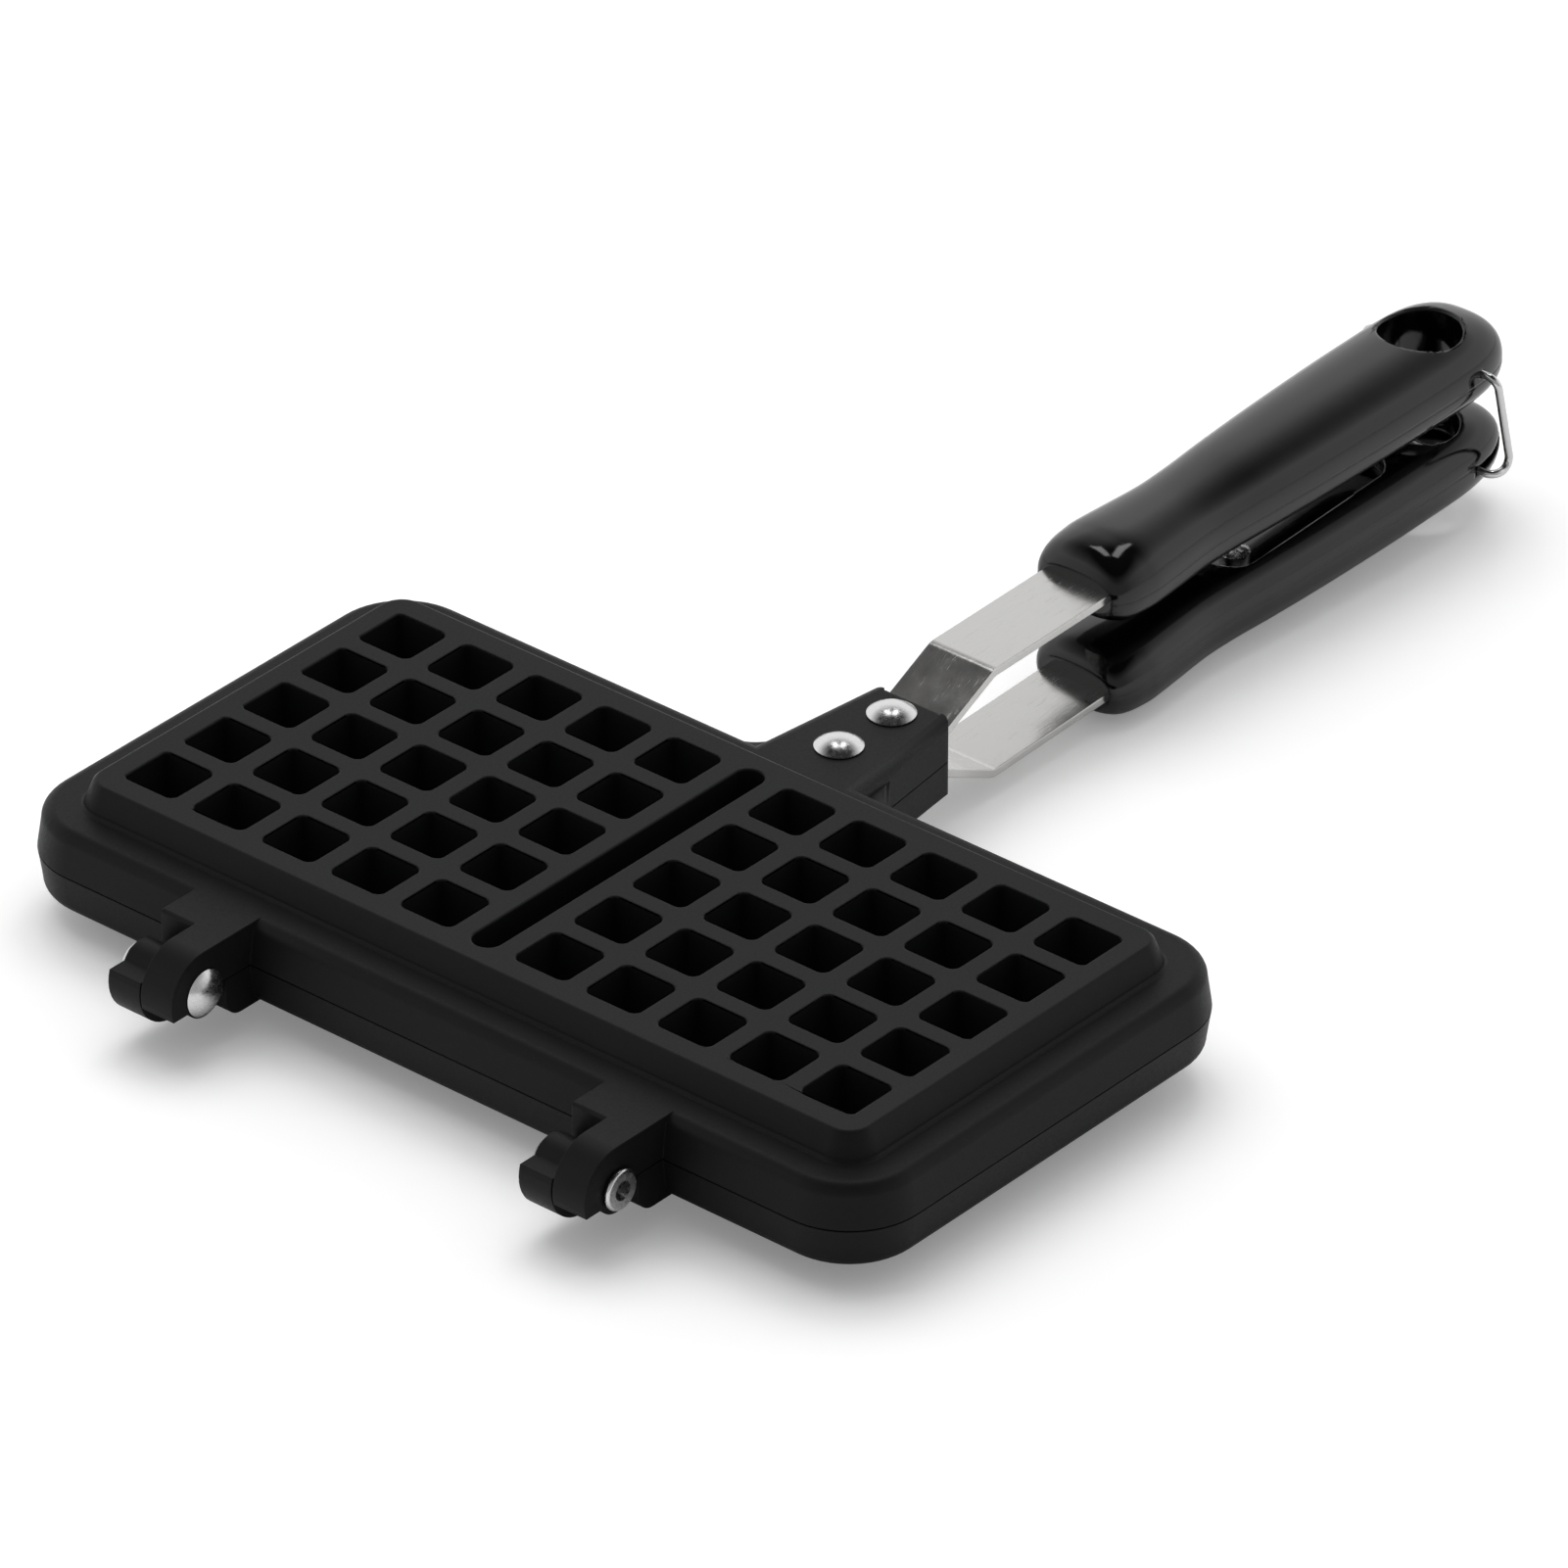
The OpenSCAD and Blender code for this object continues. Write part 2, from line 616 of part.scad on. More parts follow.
// Pan-head screw that holds the strap in the grip, reached through the moulded pocket
module grip_screw() {
    seat = plate_h - grip_mid + grip_inner - pocket_d;
    tip = plate_h - strap_out - screw_depth + 0.5;
    dome = 6;
    translate([screw_x, 0, 0]) difference() {
        rotate_extrude() {
            translate([0, tip]) square([screw_r, seat - tip]);
            intersection() {
                translate([0, seat]) square([screw_head_r, screw_head_h]);
                translate([0, seat + screw_head_h - dome]) circle(dome, $fn = 96);
            }
        }
        for (a = [0, 90]) rotate([0, 0, a])
            translate([-2.2, -0.45, seat + screw_head_h - 1.3]) cube([4.4, 0.9, 2]);
    }
}

// Corners of the bail's middle line about its pivot, from one foot to the other
foot_y = leg_y - wire_bend - foot_d;
half_corners = [[0, leg_y, 0], [leg_out, leg_y, -leg_down], [bar_x, leg_y, bar_z]];
corners = concat(
    [[0, foot_y + 1, 0]], half_corners,
    [for (p = reversed(half_corners)) [p[0], -p[1], p[2]]], [[0, -foot_y - 1, 0]]);
wire_steps = 7;
function unit(v) = v / norm(v);

// Points of the bend that replaces a sharp corner
function bend_points(a, b, c) = let (
    u = unit(b - a), v = unit(c - b), turn = acos(u * v),
    side = unit(v - (u * v) * u), start = b - wire_bend * tan(turn / 2) * u)
    [for (i = [0:wire_steps]) let (w = turn * i / wire_steps)
        start + wire_bend * sin(w) * u + wire_bend * (1 - cos(w)) * side];
wire_line = concat(
    [corners[0]],
    [for (i = [1:len(corners) - 2]) each bend_points(corners[i - 1], corners[i], corners[i + 1])],
    [corners[len(corners) - 1]]);
function wire_dir(i) = unit(wire_line[min(i + 1, len(wire_line) - 1)] - wire_line[max(i - 1, 0)]);

// Side directions carried along the wire without twist
function carried(v, i) = i >= len(wire_line) ? [] :
    let (w = unit(v - (v * wire_dir(i)) * wire_dir(i))) concat([w], carried(w, i + 1));
wire_sides = carried([1, 0, 0], 0);
wire_n = 16;
function wire_points() = [for (i = [0:len(wire_line) - 1], k = [0:wire_n - 1])
    let (a = k * 360 / wire_n, v = wire_sides[i], w = cross(wire_dir(i), v))
        wire_line[i] + (wire_r - 0.005) * (cos(a) * v + sin(a) * w)];
function wire_faces() = let (last = len(wire_line) - 1) concat(
    [[for (k = [0:wire_n - 1]) k]],
    [for (i = [0:last - 1], k = [0:wire_n - 1]) let (j = (k + 1) % wire_n)
        [i * wire_n + j, i * wire_n + k, (i + 1) * wire_n + k, (i + 1) * wire_n + j]],
    [[for (k = [wire_n - 1:-1:0]) last * wire_n + k]]);

module bail() {
    translate([pivot_x, 0, pivot_z]) {
        polyhedron(wire_points(), wire_faces(), convexity = 6);
        for (s = [0, 1]) mirror([0, s, 0]) translate([0, foot_y, 0]) rotate([-90, 0, 0])
            cylinder(r = wire_r, h = foot_d - 0.2);
    }
}

module lower_plate() color(coat_colour) placed() plate(4.6);
module upper_plate() color(coat_colour) placed() upper_half() plate(0.8);
module left_hinge_pin() color(alu_colour) placed_pin(1);
module right_hinge_pin() color(alu_colour) placed_pin(-1);
module lower_strap() color(steel_colour) placed() strap(lower_lift);
module upper_strap() color(steel_colour) placed() upper_half() strap(-upper_lean);
module lower_front_rivet() color(alu_colour) placed() translate([rivet_x[1], 0, 0]) rivet();
module lower_rear_rivet() color(alu_colour) placed() translate([rivet_x[0], 0, 0]) rivet();
module upper_front_rivet() color(alu_colour) placed() upper_half() translate([rivet_x[1], 0, 0]) rivet();
module upper_rear_rivet() color(alu_colour) placed() upper_half() translate([rivet_x[0], 0, 0]) rivet();
module lower_grip() color(phenolic_colour) placed() difference() {
    sprung(lower_lift) grip();
    bail_slot();
}
module upper_grip() color(phenolic_colour) placed() upper_half() sprung(-upper_lean) grip() foot_holes();
module lower_grip_screw() color(steel_colour) placed() sprung(lower_lift) grip_screw();
module upper_grip_screw() color(steel_colour) placed() upper_half() sprung(-upper_lean) grip_screw();
module wire_bail() color(steel_colour) placed() bail();

lower_plate();
upper_plate();
left_hinge_pin();
right_hinge_pin();
lower_strap();
upper_strap();
lower_front_rivet();
lower_rear_rivet();
upper_front_rivet();
upper_rear_rivet();
lower_grip();
upper_grip();
lower_grip_screw();
upper_grip_screw();
wire_bail();
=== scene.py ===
"""Finishes for a two-slice waffle pan.

Coated castings, steel straps, moulded grips, rivets and a wire bail, on a pale studio floor.
"""
import math

import bmesh
import bpy
from mathutils import Matrix, Vector


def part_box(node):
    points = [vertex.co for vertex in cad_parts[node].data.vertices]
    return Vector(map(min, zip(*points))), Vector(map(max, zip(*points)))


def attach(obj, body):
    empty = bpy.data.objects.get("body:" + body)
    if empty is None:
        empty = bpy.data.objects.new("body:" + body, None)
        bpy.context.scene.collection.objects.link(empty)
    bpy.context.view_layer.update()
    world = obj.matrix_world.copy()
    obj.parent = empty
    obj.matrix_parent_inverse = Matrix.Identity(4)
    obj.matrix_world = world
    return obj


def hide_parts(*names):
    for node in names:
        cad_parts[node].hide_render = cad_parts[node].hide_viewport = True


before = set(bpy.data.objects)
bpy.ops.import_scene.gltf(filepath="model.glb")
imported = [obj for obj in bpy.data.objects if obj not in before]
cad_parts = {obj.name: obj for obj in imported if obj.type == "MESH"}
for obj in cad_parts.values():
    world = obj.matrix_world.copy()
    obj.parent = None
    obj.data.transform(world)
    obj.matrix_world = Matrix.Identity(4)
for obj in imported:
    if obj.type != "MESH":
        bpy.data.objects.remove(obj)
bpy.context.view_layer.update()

bl_info = {
    "name": "Waffle Pan Studio",
    "version": (1, 0, 0),
    "blender": (4, 5, 0),
    "location": "View3D > Sidebar > Waffle Pan",
    "description": "Dresses a hinged waffle pan and sets it on a pale studio floor",
    "category": "Object",
}

MM = 0.001
# Each half: its name, its body, and which way its inner side faces
HALVES = (("lower", "base", 1), ("upper", "lid", -1))
PAIR_HEIGHT = 32.4

# Points closer than this are one, in metres, and the same for the grip's rows and its middle
SAME, SAME_ROW, SAME_MIDDLE = 2e-6, 4e-6, 1e-7
# Largest angle, in degrees, between faces that are flat together and between faces shaded as one
FLAT_ANGLE = 0.3
SMOOTH_ANGLE, GRIP_SMOOTH, TURNED_SMOOTH, WIRE_SMOOTH = 32, 34, 38, 45

# The castings, in metres: the panel stands a step above the flange, and the boss is past its end
STEP = 6.2 * MM
FLANGE_END = 111.5 * MM
# The photo's boss is longer than the solid's, and its top edges are rounder
BOSS_CORNER = 138.0 * MM
BOSS_MORE = 1.5 * MM
BOSS_ROUND = 0.9 * MM
CAST_SEGMENTS = 3

STRAP_EDGE = 0.25 * MM

# The grips, in millimetres, as the lower one lies before its strap springs up
GRIP_START, GRIP_LENGTH, GRIP_MIDDLE = 198.18, 139.2, 4.4
WAIST, BROAD = 12.3, 14.9
OUTER, INNER = 11.05, 8.5
# The section's roundness: 1 is an ellipse, and less is squarer
SQUARE = 0.80
RING = 72
# The groove where the mould parts: its depth, and half its width in degrees of the section
GROOVE, GROOVE_HALF = 0.16, 0.6
TIP_LENGTH, TIP_POWER, TIP_ROWS, TIP_REACH = 25.4, 3.1, 18, 89.4
# Place from the nose, half width, and shares of the outer and inner depth
GRIP_BODY = (
    (0, 10.0, 0.40, 0.47),
    (0.5, 10.9, 0.50, 0.58),
    (1.6, WAIST - 0.4, 0.64, 0.72),
    (3.8, WAIST + 0.5, 0.78, 0.88),
    (6.5, WAIST + 1.05, 0.85, 0.95),
    (9.5, WAIST + 1.3, 0.885, 0.985),
    (13.5, WAIST + 1.4, 0.905, 1),
    (23, WAIST + 0.75, 0.88, 1),
    (33.3, WAIST, 0.86, 1),
    (43.7, WAIST + 0.2, 0.88, 1),
    (54.1, WAIST + 0.85, 0.92, 1),
    (68.4, BROAD - 1.0, 0.955, 1),
    (82.7, BROAD - 0.5, 0.98, 1),
    (98.0, BROAD - 0.1, 0.995, 1),
    (GRIP_LENGTH - TIP_LENGTH, BROAD, 1, 1),
)
ROWS_BETWEEN = 3
HOLE_X, HOLE_SIZE = 317.88, (18.9, 18.6)
POCKET_X, POCKET_SIZE, POCKET_DEPTH, POCKET_RIM = 272.53, (58.0, 15.2), 4.0, 0.6
CUT_BELOW, CUT_ABOVE, POCKET_ABOVE = -30, 40, 5
RIM_SEGMENTS, RIM_ANGLE = 3, 40
# Where each strap bends level, in X and Z, and how far it leans from there in degrees
KNEE = (160.18, 3.45)
LEAN = {"lower": 2.0, "upper": -1.1}
# The pivot of the bail, and the blind holes for its feet
PIVOT_X, FOOT_DROP, FOOT_INMOST, FOOT_HOLE, DRILL_LENGTH = 321.92, 2.1, 10.15, 1.03, 20.0
# The slot that the bail's cross bar swings along
WIRE_RADIUS, SWEEP_ROOM, SWEEP_ANGLE, SWEEP_STEPS, SWEEP_WIDTH = 0.95, 1.25, 80, 24, 20

# The rivets, in millimetres: the head is a plain dome, a little smaller than the solid's
HEAD_SHARE, HEAD_RISE, HEAD_RIM, HEAD_ROUND, HEAD_UNDER, DOME_RINGS = 0.95, 1.9, 0.3, 0.15, 0.1, 14
SHANK, TAIL, TAIL_THICK, TAIL_ROUND = 2.5, 4.0, 1.2, 0.3

# The studio, in metres
FLOOR_SIZE, FLOOR_GAP = 24, 0.05 * MM
# What the camera's view of the clear paper is lifted by, so that it is just white
FLOOR_LIFT = 0.20
# Directions in the surroundings, as the share of each that points up: ceiling above, white below
CEILING_FROM, WHITE_UNDER = 0.86, 0.55
# The level direction that leads away from the camera, where the surroundings are brighter
AWAY = (0.77, 0.64, 0)
# Each softbox: its name, place, what it faces, width, height and the setting with its power
LAMPS = (
    ("overhead_softbox", (0.35, 0.45, 1.6), (0.08, 0, 0), 1.8, 1.4, "key_power"),
    ("near_window", (0.86, 0.28, 1.56), (0.15, 0, 0), 0.26, 0.55, "window_power"),
    ("far_window", (0.54, 0.66, 1.56), (0.15, 0, 0), 0.26, 0.55, "window_power"),
)
# The camera as fitted to the photo's perspective: lens in millimetres, turn in degrees
CAMERA_PLACE = (-1.942459, -1.740216, 1.694537)
CAMERA_TURN = (58.122173, -0.020466, -49.570007)
CAMERA_LENS, CAMERA_SENSOR = 342.1183, 36.0
CLIP_START, CLIP_END = 0.1, 50.0


# Sizes and colours that a user may change

class CoatSettings(bpy.types.PropertyGroup):
    coat_hex: bpy.props.StringProperty(
        name="Coat", description="Colour of the non-stick coat", default="#161617")
    edge_radius: bpy.props.FloatProperty(
        name="Edge radius", description="Rounding that the coat leaves on cast edges",
        default=0.0004, min=0.0, max=0.001, unit="LENGTH", precision=5)
    grain_mm: bpy.props.FloatProperty(
        name="Grain", description="Spacing of the coat's orange-peel grain, in millimetres",
        default=0.55, min=0.1, max=3.0)


class GripSettings(bpy.types.PropertyGroup):
    grip_hex: bpy.props.StringProperty(
        name="Grip", description="Colour of the moulded grips", default="#070708")
    rim_radius: bpy.props.FloatProperty(
        name="Rim radius", description="Rounding of the hang hole's rim",
        default=0.0009, min=0.0, max=0.003, unit="LENGTH", precision=5)


class MetalSettings(bpy.types.PropertyGroup):
    strap_hex: bpy.props.StringProperty(
        name="Strap", description="Colour of the stainless straps", default="#D6D5D3")
    rivet_hex: bpy.props.StringProperty(
        name="Rivets", description="Colour of the aluminium rivets and pins", default="#DCDCDC")
    wire_hex: bpy.props.StringProperty(
        name="Wire", description="Colour of the bail's steel wire", default="#D2D2D2")


class StageSettings(bpy.types.PropertyGroup):
    floor_hex: bpy.props.StringProperty(
        name="Floor", description="Colour of the studio floor", default="#F4F4F4")
    key_power: bpy.props.FloatProperty(
        name="Key light", description="Power of the large overhead softbox",
        default=12.0, min=0.0, unit="POWER")
    window_power: bpy.props.FloatProperty(
        name="Windows", description="Power of the two small windows that show in the gloss",
        default=1.4, min=0.0, unit="POWER")
    fill_level: bpy.props.FloatProperty(
        name="Fill", description="Level of the surroundings as light",
        default=0.70, min=0.0, max=3.0)
    ceiling_level: bpy.props.FloatProperty(
        name="Ceiling", description="Level of the dark upper surroundings in reflections",
        default=0.02, min=0.0, max=1.0)


# Small helpers

def linear(hex_colour):
    """An sRGB hex colour as linear red, green, blue and alpha."""
    parts = [int(hex_colour[i:i + 2], 16) / 255 for i in (1, 3, 5)]
    return tuple(
        c / 12.92 if c <= 0.04045 else ((c + 0.055) / 1.055) ** 2.4 for c in parts) + (1.0,)


def shade(colour, factor):
    """A linear colour made darker or paler, up to white."""
    return tuple(min(1, c * factor) for c in colour[:3]) + (1,)


def add_node(tree, kind, settings=None, **sockets):
    """One shader node, with its properties set and its inputs given as values or as links.

    An input is given by its name, or as i and its number where several have the same name.
    """
    made = tree.nodes.new(kind)
    for key, value in (settings or {}).items():
        setattr(made, key, value)
    for key, value in sockets.items():
        numbered = key[0] == "i" and key[1:].isdigit()
        target = made.inputs[int(key[1:]) if numbered else key.replace("_", " ")]
        if isinstance(value, bpy.types.NodeSocket):
            tree.links.new(value, target)
        else:
            target.default_value = value
    return made


def new_material(name):
    """An empty node material with its output node."""
    material = bpy.data.materials.new(name)
    material.use_nodes = True
    material.node_tree.nodes.clear()
    return material, material.node_tree, material.node_tree.nodes.new("ShaderNodeOutputMaterial")


def finish_piece(piece, body, material, node):
    """Gives a finished piece its material and body, and hides the CAD node that it stands for."""
    piece.data.materials.clear()
    piece.data.materials.append(material)
    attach(piece, body)
    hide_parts(node)


def only(piece):
    """Selects one piece and nothing else."""
    bpy.ops.object.select_all(action="DESELECT")
    piece.hide_viewport = False
    piece.select_set(True)
    bpy.context.view_layer.objects.active = piece


def cleaned_copy(node, name):
    """A copy of a CAD node with its loose triangles merged into flat faces."""
    piece = bpy.data.objects.new(name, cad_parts[node].data.copy())
    bpy.context.scene.collection.objects.link(piece)
    only(piece)
    bpy.ops.object.mode_set(mode="EDIT")
    bpy.ops.mesh.select_all(action="SELECT")
    bpy.ops.mesh.remove_doubles(threshold=SAME)
    bpy.ops.mesh.dissolve_limited(angle_limit=math.radians(FLAT_ANGLE))
    bpy.ops.object.mode_set(mode="OBJECT")
    return piece


def rounded(piece, radius, chosen=None, segments=2, angle=35):
    """Rounds the sharp edges, or those of them with both ends picked by chosen()."""
    only(piece)
    bpy.ops.object.mode_set(mode="EDIT")
    bpy.ops.mesh.select_mode(type="EDGE")
    bpy.ops.mesh.select_all(action="DESELECT")
    mesh = bmesh.from_edit_mesh(piece.data)
    for edge in mesh.edges:
        sharp = len(edge.link_faces) == 2 and edge.calc_face_angle() > math.radians(angle)
        edge.select = sharp and (chosen is None or all(chosen(v.co) for v in edge.verts))
    mesh.select_flush_mode()
    bmesh.update_edit_mesh(piece.data)
    bpy.ops.mesh.bevel(
        offset=radius, segments=segments, profile=0.5, affect="EDGES", clamp_overlap=False)
    bpy.ops.object.mode_set(mode="OBJECT")
    smoothed(piece, SMOOTH_ANGLE)


def smoothed(piece, angle):
    """Smooth shading up to an angle, with the large flat faces kept flat."""
    only(piece)
    bpy.ops.object.shade_smooth_by_angle(angle=math.radians(angle))
    flat = piece.modifiers.new("flat faces lead", "WEIGHTED_NORMAL")
    flat.keep_sharp = True
    bpy.ops.object.modifier_apply(modifier=flat.name)


def turned(name, profile, steps=48):
    """A turned piece about Z: one point is drawn out along the profile and spun, in metres."""
    bpy.ops.object.select_all(action="DESELECT")
    bpy.ops.mesh.primitive_plane_add(size=0.001, location=(0, 0, 0))
    piece = bpy.context.object
    piece.name = name
    bpy.ops.object.mode_set(mode="EDIT")
    bpy.ops.mesh.select_mode(type="VERT")
    bpy.ops.mesh.select_all(action="SELECT")
    bpy.ops.mesh.merge(type="CENTER")
    bpy.ops.transform.translate(value=(profile[0][0], 0, profile[0][1]))
    for (r0, z0), (r1, z1) in zip(profile, profile[1:]):
        bpy.ops.mesh.extrude_region_move(
            TRANSFORM_OT_translate={"value": (r1 - r0, 0, z1 - z0)})
    bpy.ops.mesh.select_all(action="SELECT")
    bpy.ops.mesh.spin(steps=steps, angle=2 * math.pi, center=(0, 0, 0), axis=(0, 0, 1))
    bpy.ops.mesh.select_all(action="SELECT")
    bpy.ops.mesh.remove_doubles(threshold=SAME)
    bpy.ops.mesh.normals_make_consistent(inside=False)
    bpy.ops.object.mode_set(mode="OBJECT")
    bpy.ops.object.shade_smooth_by_angle(angle=math.radians(TURNED_SMOOTH))
    return piece


def smooth_course(rows, steps):
    """More rows between the given ones, on a curve through all of them."""
    course = []
    for k in range(len(rows) - 1):
        near = (rows[min(max(k + j, 0), len(rows) - 1)] for j in (-1, 0, 1, 2))
        before, start, end, after = near
        for i in range(steps):
            t = i / steps
            course.append([
                0.5 * (2 * b + (c - a) * t + (2 * a - 5 * b + 4 * c - d) * t * t
                       + (3 * b - a - 3 * c + d) * t ** 3)
                for a, b, c, d in zip(before, start, end, after)])
    return course + [list(rows[-1])]


def grip_stations():
    """The grip's place, half width, outer depth and inner depth, from the nose to the tip."""
    rows = smooth_course(GRIP_BODY, ROWS_BETWEEN)
    for i in range(1, TIP_ROWS + 1):
        t = math.sin(math.radians(i * TIP_REACH / TIP_ROWS))
        share = (1 - t ** TIP_POWER) ** (1 / TIP_POWER)
        rows.append([GRIP_LENGTH - TIP_LENGTH * (1 - t), share * BROAD, share, share])
    return [(GRIP_START + place, half, outer * OUTER, inner * INNER)
            for place, half, outer, inner in rows]


def grip_section(turn, half, outer, inner):
    """One point of the grip's section, squarer than an ellipse, with a fine groove each side."""
    steps = RING // 2
    k = turn % steps
    spread = (180 - 2 * GROOVE_HALF) / (steps - 2)
    angle = (0 if k == 0 else GROOVE_HALF + spread * (k - 1)) + (180 if turn >= steps else 0)
    across, up = math.cos(math.radians(angle)), math.sin(math.radians(angle))
    groove = 1 - GROOVE / half if k == 0 else 1
    return (math.copysign(abs(across) ** SQUARE, across) * half * groove,
            math.copysign(abs(up) ** SQUARE, up) * (inner if up > 0 else outer))


def select_points(piece, chosen):
    """Selects the points that chosen() picks by their place, in edit mode."""
    mesh = bmesh.from_edit_mesh(piece.data)
    for vert in mesh.verts:
        vert.select = chosen(vert.co)
    mesh.select_flush(True)
    mesh.select_flush(False)
    bmesh.update_edit_mesh(piece.data)


def grip_body(name):
    """The solid grip: its section is drawn out from nose to tip and scaled at each station."""
    rows = grip_stations()
    bpy.ops.object.select_all(action="DESELECT")
    bpy.ops.mesh.primitive_circle_add(vertices=RING, radius=1, fill_type="NGON")
    piece = bpy.context.object
    piece.name = name
    bpy.ops.object.mode_set(mode="EDIT")
    bpy.ops.mesh.select_mode(type="VERT")
    mesh = bmesh.from_edit_mesh(piece.data)
    place, half, outer, inner = rows[0]
    for k, vert in enumerate(mesh.verts):
        y, z = grip_section(k, half, outer, inner)
        vert.co = (place * MM, y * MM, (GRIP_MIDDLE + z) * MM)
    bmesh.update_edit_mesh(piece.data)
    bpy.ops.mesh.select_all(action="SELECT")
    for a, b in zip(rows, rows[1:]):
        bpy.ops.mesh.extrude_region_move(
            TRANSFORM_OT_translate={"value": ((b[0] - a[0]) * MM, 0, 0)})
        middle = (b[0] * MM, 0, GRIP_MIDDLE * MM)
        bpy.ops.transform.resize(value=(1, b[1] / a[1], 1), center_override=middle)
        for side, scale in ((1, b[3] / a[3]), (-1, b[2] / a[2])):
            select_points(piece, lambda co: abs(co.x - middle[0]) < SAME_ROW
                          and (co.z - middle[2]) * side > -SAME_MIDDLE)
            bpy.ops.transform.resize(value=(1, 1, scale), center_override=middle)
        select_points(piece, lambda co: abs(co.x - middle[0]) < SAME_ROW)
    bpy.ops.mesh.select_all(action="SELECT")
    bpy.ops.mesh.normals_make_consistent(inside=False)
    bpy.ops.object.mode_set(mode="OBJECT")
    return piece


def oblong(place, size, low, high):
    """A round-ended bar that stands along Z, to cut a hole or a pocket with."""
    length, width = size
    bpy.ops.object.select_all(action="DESELECT")
    bpy.ops.mesh.primitive_cylinder_add(
        vertices=64, radius=width / 2 * MM, depth=(high - low) * MM, location=(0, 0, 0))
    piece = bpy.context.object
    bpy.ops.object.mode_set(mode="EDIT")
    bpy.ops.mesh.select_mode(type="VERT")
    for side in (1, -1):
        select_points(piece, lambda co: co.x * side > 1e-6)
        bpy.ops.transform.translate(value=(side * (length - width) / 2 * MM, 0, 0))
    bpy.ops.object.mode_set(mode="OBJECT")
    piece.data.transform(Matrix.Translation((place * MM, 0, (low + high) / 2 * MM)))
    return piece


def cut(piece, cutter):
    """Takes the cutter's solid out of the piece."""
    only(piece)
    boolean = piece.modifiers.new("cut", "BOOLEAN")
    boolean.operation = "DIFFERENCE"
    boolean.solver = "EXACT"
    boolean.object = cutter
    bpy.ops.object.modifier_apply(modifier=boolean.name)
    bpy.data.objects.remove(cutter, do_unlink=True)


def set_down(piece, matrix):
    """Turns and moves a piece, and leaves its object at the origin."""
    piece.data.transform(matrix)
    if matrix.determinant() < 0:
        piece.data.flip_normals()


# Materials

def coat_material(coat):
    """Cast aluminium sprayed with matte black non-stick.

    It is dark and even, with a fine orange peel and a few pale specks.
    """
    material, tree, output = new_material("cast_aluminium_nonstick_coat")
    place = add_node(tree, "ShaderNodeTexCoord").outputs["Object"]
    peel = add_node(
        tree, "ShaderNodeTexNoise", Vector=place, Scale=1 / (coat.grain_mm * MM), Detail=2.0,
        Roughness=0.55)
    cloud = add_node(
        tree, "ShaderNodeTexNoise", Vector=place, Scale=1 / (38.0 * MM), Detail=2.0)
    # Pigment specks a third of a millimetre across, one in a few millimetres
    speck = add_node(tree, "ShaderNodeTexVoronoi", Vector=place, Scale=1 / (0.9 * MM))
    speck_mask = add_node(
        tree, "ShaderNodeMapRange", Value=speck.outputs["Distance"],
        From_Min=0.10, From_Max=0.22, To_Min=1.0, To_Max=0.0)
    rare = add_node(
        tree, "ShaderNodeMapRange", Value=peel.outputs["Fac"],
        From_Min=0.52, From_Max=0.66, To_Min=0.0, To_Max=1.0)
    both = add_node(
        tree, "ShaderNodeMath", {"operation": "MULTIPLY"},
        i0=speck_mask.outputs[0], i1=rare.outputs[0])
    base = linear(coat.coat_hex)
    tone = add_node(
        tree, "ShaderNodeMix", {"data_type": "RGBA"}, Factor=cloud.outputs["Fac"],
        i6=shade(base, 0.92), i7=shade(base, 1.08))
    fleck = add_node(
        tree, "ShaderNodeMix", {"data_type": "RGBA"}, Factor=both.outputs[0],
        i6=tone.outputs[2], i7=shade(base, 2.2))
    rough = add_node(
        tree, "ShaderNodeMapRange", Value=peel.outputs["Fac"],
        From_Min=0.3, From_Max=0.7, To_Min=0.38, To_Max=0.50)
    soft = add_node(tree, "ShaderNodeBevel", {"samples": 4}, Radius=coat.edge_radius)
    bump = add_node(
        tree, "ShaderNodeBump", Height=peel.outputs["Fac"], Strength=0.22, Distance=0.06 * MM,
        Normal=soft.outputs[0])
    shader = add_node(
        tree, "ShaderNodeBsdfPrincipled", Base_Color=fleck.outputs[2],
        Roughness=rough.outputs[0], Normal=bump.outputs[0], IOR=1.38, Specular_IOR_Level=0.20)
    tree.links.new(shader.outputs[0], output.inputs["Surface"])
    return material


def phenolic_material(grip):
    """Compression-moulded phenolic: deep black with a hard gloss and a barely wavy skin."""
    material, tree, output = new_material("moulded_phenolic_gloss")
    place = add_node(tree, "ShaderNodeTexCoord").outputs["Object"]
    wave = add_node(
        tree, "ShaderNodeTexNoise", Vector=place, Scale=1 / (9.0 * MM), Detail=2.0)
    scuff = add_node(
        tree, "ShaderNodeTexNoise", Vector=place, Scale=1 / (1.6 * MM), Detail=3.0)
    rough = add_node(
        tree, "ShaderNodeMapRange", Value=scuff.outputs["Fac"],
        From_Min=0.35, From_Max=0.75, To_Min=0.06, To_Max=0.11)
    soft = add_node(tree, "ShaderNodeBevel", {"samples": 6}, Radius=grip.rim_radius)
    bump = add_node(
        tree, "ShaderNodeBump", Height=wave.outputs["Fac"], Strength=0.10, Distance=0.2 * MM,
        Normal=soft.outputs[0])
    shader = add_node(
        tree, "ShaderNodeBsdfPrincipled", Base_Color=linear(grip.grip_hex),
        Roughness=rough.outputs[0], Normal=bump.outputs[0], IOR=1.50)
    tree.links.new(shader.outputs[0], output.inputs["Surface"])
    return material


